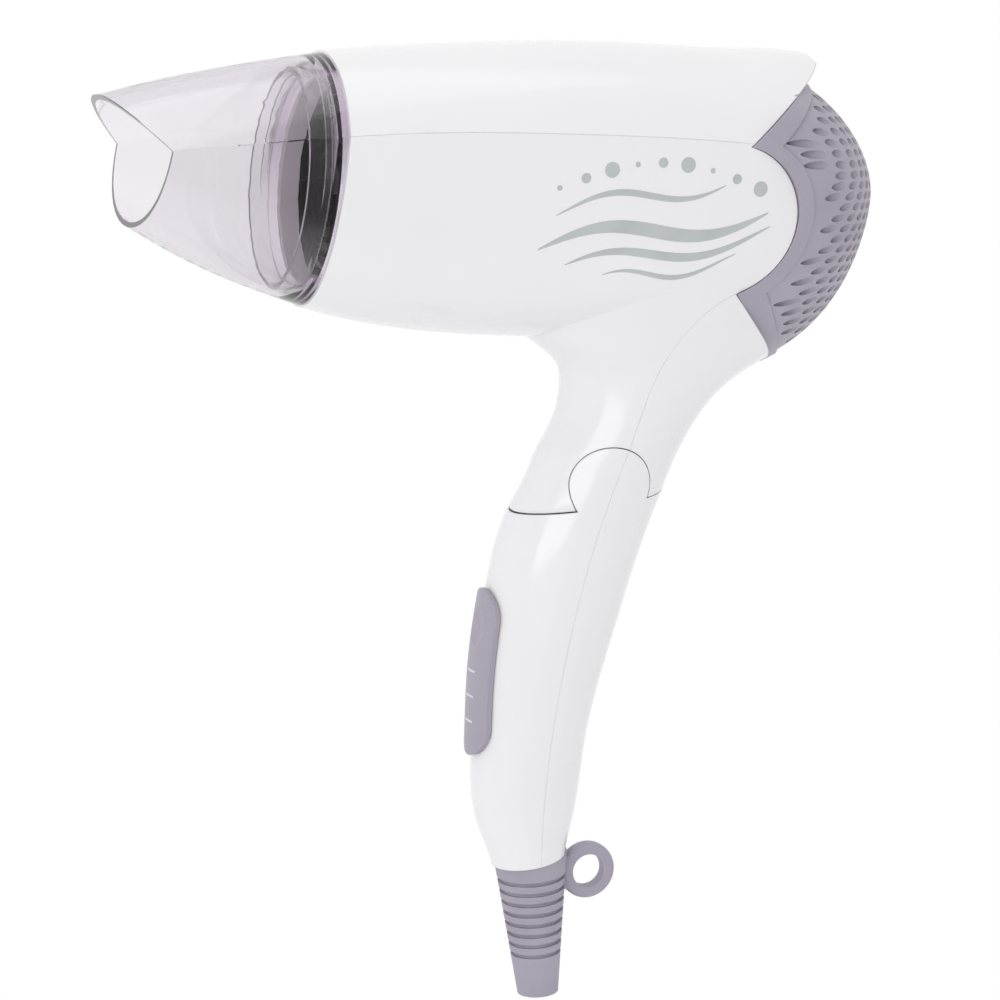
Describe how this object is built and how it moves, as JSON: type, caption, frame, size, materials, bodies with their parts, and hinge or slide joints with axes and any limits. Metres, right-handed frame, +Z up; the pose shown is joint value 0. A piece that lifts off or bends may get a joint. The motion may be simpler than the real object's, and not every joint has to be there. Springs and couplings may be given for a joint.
{
  "type": "hair dryer",
  "caption": "White folding hair dryer with a clear concentrator nozzle, lilac-grey intake dome, slide switch and hang ring.",
  "frame": {"origin": "centre of the hang ring's hole at the foot of the grip, on the dryer's middle plane", "axes": "+Z up along the height of the dryer, +X to the rear so that the nozzle points along -X, +Y across the dryer along the hang ring's hole"},
  "size_m": [0.2094, 0.0726, 0.2573],
  "materials": {
    "white_shell": "smooth glossy moulding",
    "lilac_plastic": "satin lilac-grey moulding",
    "lilac_rubber": "satin lilac-grey soft plastic",
    "clear_plastic": "clear plastic with a faint lilac tint",
    "white_heatproof": "heatproof white moulding",
    "black_guard": "matt black heatproof moulding",
    "mica": "layered mica board",
    "heating_alloy": "oxidised heating wire",
    "motor_steel": "zinc plated steel",
    "dark_plastic": "black moulding"
  },
  "bodies": {
    "grip": {"grip_front": "white_shell", "grip_rear": "white_shell", "grip_screws": "motor_steel", "switch_body": "dark_plastic", "strain_relief": "lilac_rubber", "hinge_pin": "motor_steel"},
    "head": {"top_cover": "white_shell", "main_shell": "white_shell", "rear_shell": "white_shell", "intake_frame": "lilac_plastic", "intake_grille": "lilac_plastic", "outlet_ring": "white_heatproof", "outlet_guard": "black_guard", "heat_tube": "mica", "mica_boards": "mica", "heating_wire": "heating_alloy", "fan_duct": "white_heatproof", "motor": "motor_steel", "neck_screw": "motor_steel", "hinge_washers": "motor_steel"},
    "nozzle_body": {"nozzle": "clear_plastic"},
    "rotor": {"fan": "dark_plastic", "motor_shaft": "motor_steel"},
    "slider": {"switch_slider": "lilac_plastic"}
  },
  "joints": [
    {"name": "handle_fold", "type": "hinge", "parent": "grip", "child": "head", "pos_m": [0.0005, 0, 0.1075], "axis": [0, -1, 0], "range_deg": [0, 70]},
    {"name": "nozzle_pull", "type": "slide", "parent": "head", "child": "nozzle_body", "axis": [-0.9951, 0, 0.0993], "range_m": [0, 0.014]},
    {"name": "fan_spin", "type": "hinge", "parent": "head", "child": "rotor", "pos_m": [0.0345, 0, 0.184], "axis": [1, 0, 0], "continuous": true},
    {"name": "switch_slide", "type": "slide", "parent": "grip", "child": "slider", "axis": [-0.1219, 0, -0.9925], "range_m": [0, 0.008]}
  ]
}
